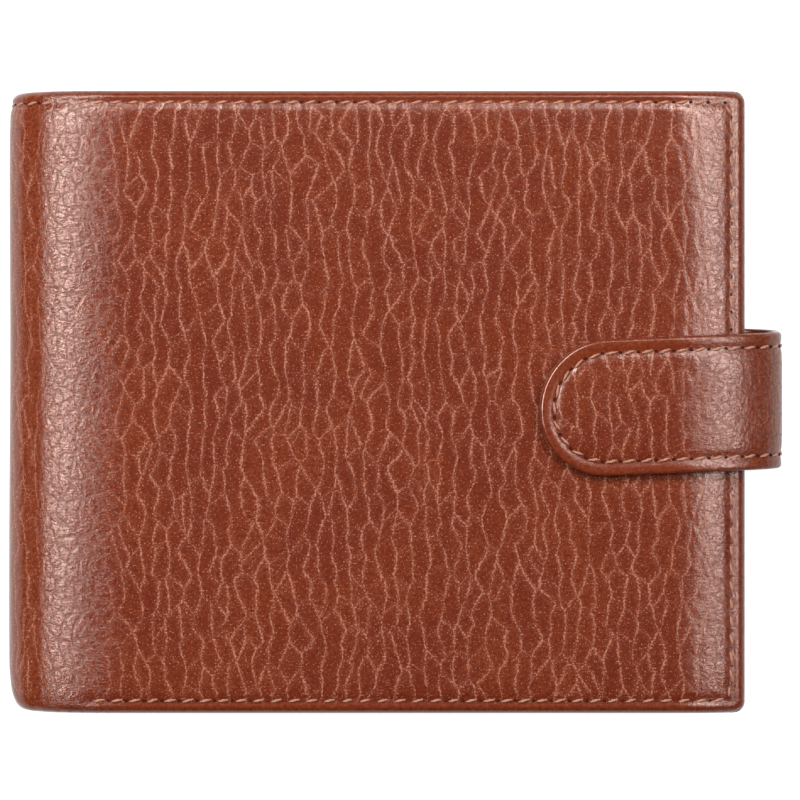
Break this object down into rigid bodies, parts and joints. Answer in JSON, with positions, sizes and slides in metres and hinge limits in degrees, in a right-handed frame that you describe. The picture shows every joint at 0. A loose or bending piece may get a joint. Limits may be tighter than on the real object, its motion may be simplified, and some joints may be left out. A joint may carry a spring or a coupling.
{
  "type": "bifold wallet",
  "caption": "Bifold leather wallet with a stitched, padded outer cover, a closing tab with a hidden press stud, card pockets, a banknote compartment and a flapped coin pocket.",
  "frame": {"origin": "centre of the back cover's flat resting face", "axes": "+X from the spine to the closing tab, +Y from the sewn bottom edge to the open top edge, +Z out of the front cover"},
  "size_m": [0.121, 0.097, 0.0223],
  "materials": {
    "outer_leather": "satin milled full grain, reddish brown",
    "inner_leather": "satin smooth grain, brown",
    "lining_fabric": "plain woven twill, dark brown",
    "padding": "bonded fibre board, off-white",
    "thread": "waxed polyester, copper tan",
    "snap_metal": "brushed antique brass"
  },
  "bodies": {
    "back_half": {"back_cover": "outer_leather", "back_edge_thread": "thread", "back_padding": "padding", "back_lining": "lining_fabric", "divider_back": "lining_fabric", "back_inner_panel": "inner_leather", "tab_root": "outer_leather", "coin_pocket_gusset": "inner_leather", "coin_pocket_front": "inner_leather", "coin_pocket_thread": "thread", "coin_snap_stud": "snap_metal", "coin_snap_stud_rivet": "snap_metal"},
    "coin_flap": {"coin_flap_leather": "inner_leather", "coin_flap_lining": "inner_leather", "coin_flap_thread": "thread", "coin_snap_socket": "snap_metal", "coin_snap_cap": "snap_metal"},
    "spine": {"spine_cover": "outer_leather", "spine_thread": "thread", "spine_lining": "lining_fabric", "divider_spine": "lining_fabric"},
    "front_half": {"front_cover": "outer_leather", "front_edge_thread": "thread", "front_padding": "padding", "front_lining": "lining_fabric", "divider_front": "lining_fabric", "front_inner_panel": "inner_leather", "closure_stud": "snap_metal", "closure_stud_rivet": "snap_metal", "card_pocket_1": "inner_leather", "card_pocket_2": "inner_leather", "card_pocket_3": "inner_leather", "card_pocket_4": "inner_leather", "card_pocket_thread": "thread"},
    "tab_wrap": {"tab_wrap_outer": "outer_leather", "tab_wrap_lining": "inner_leather", "tab_wrap_thread": "thread"},
    "tab_arm": {"tab_arm_outer": "outer_leather", "tab_arm_lining": "inner_leather", "tab_arm_thread": "thread", "closure_socket": "snap_metal", "closure_socket_cap": "snap_metal"}
  },
  "joints": [
    {"name": "fold", "type": "hinge", "parent": "back_half", "child": "spine", "pos_m": [-0.05578, 0, 0.00172], "axis": [0, -1, 0], "range_deg": [0, 90]},
    {"name": "fold_upper", "type": "hinge", "parent": "spine", "child": "front_half", "pos_m": [-0.05578, 0, 0.01828], "axis": [0, -1, 0], "range_deg": [0, 90]},
    {"name": "tab", "type": "hinge", "parent": "back_half", "child": "tab_wrap", "pos_m": [0.06243, -0.0006, 0.00227], "axis": [0, 1, 0], "range_deg": [0, 90], "deforming": ["tab_wrap_outer", "tab_wrap_lining", "tab_wrap_thread"]},
    {"name": "tab_upper", "type": "hinge", "parent": "tab_wrap", "child": "tab_arm", "pos_m": [0.06243, -0.0006, 0.02123], "axis": [0, 1, 0], "range_deg": [0, 90], "deforming": ["tab_arm_outer", "tab_arm_lining", "tab_arm_thread"]},
    {"name": "coin_flap", "type": "hinge", "parent": "back_half", "child": "coin_flap", "pos_m": [0.01025, 0.0228, 0.0045], "axis": [-1, 0, 0], "range_deg": [0, 90]}
  ],
  "couplings": [
    {"joint": "fold_upper", "follows": "fold", "ratio": 1},
    {"joint": "tab_upper", "follows": "tab", "ratio": 1},
    {"joint": "coin_flap", "follows": "fold", "ratio": 1}
  ]
}
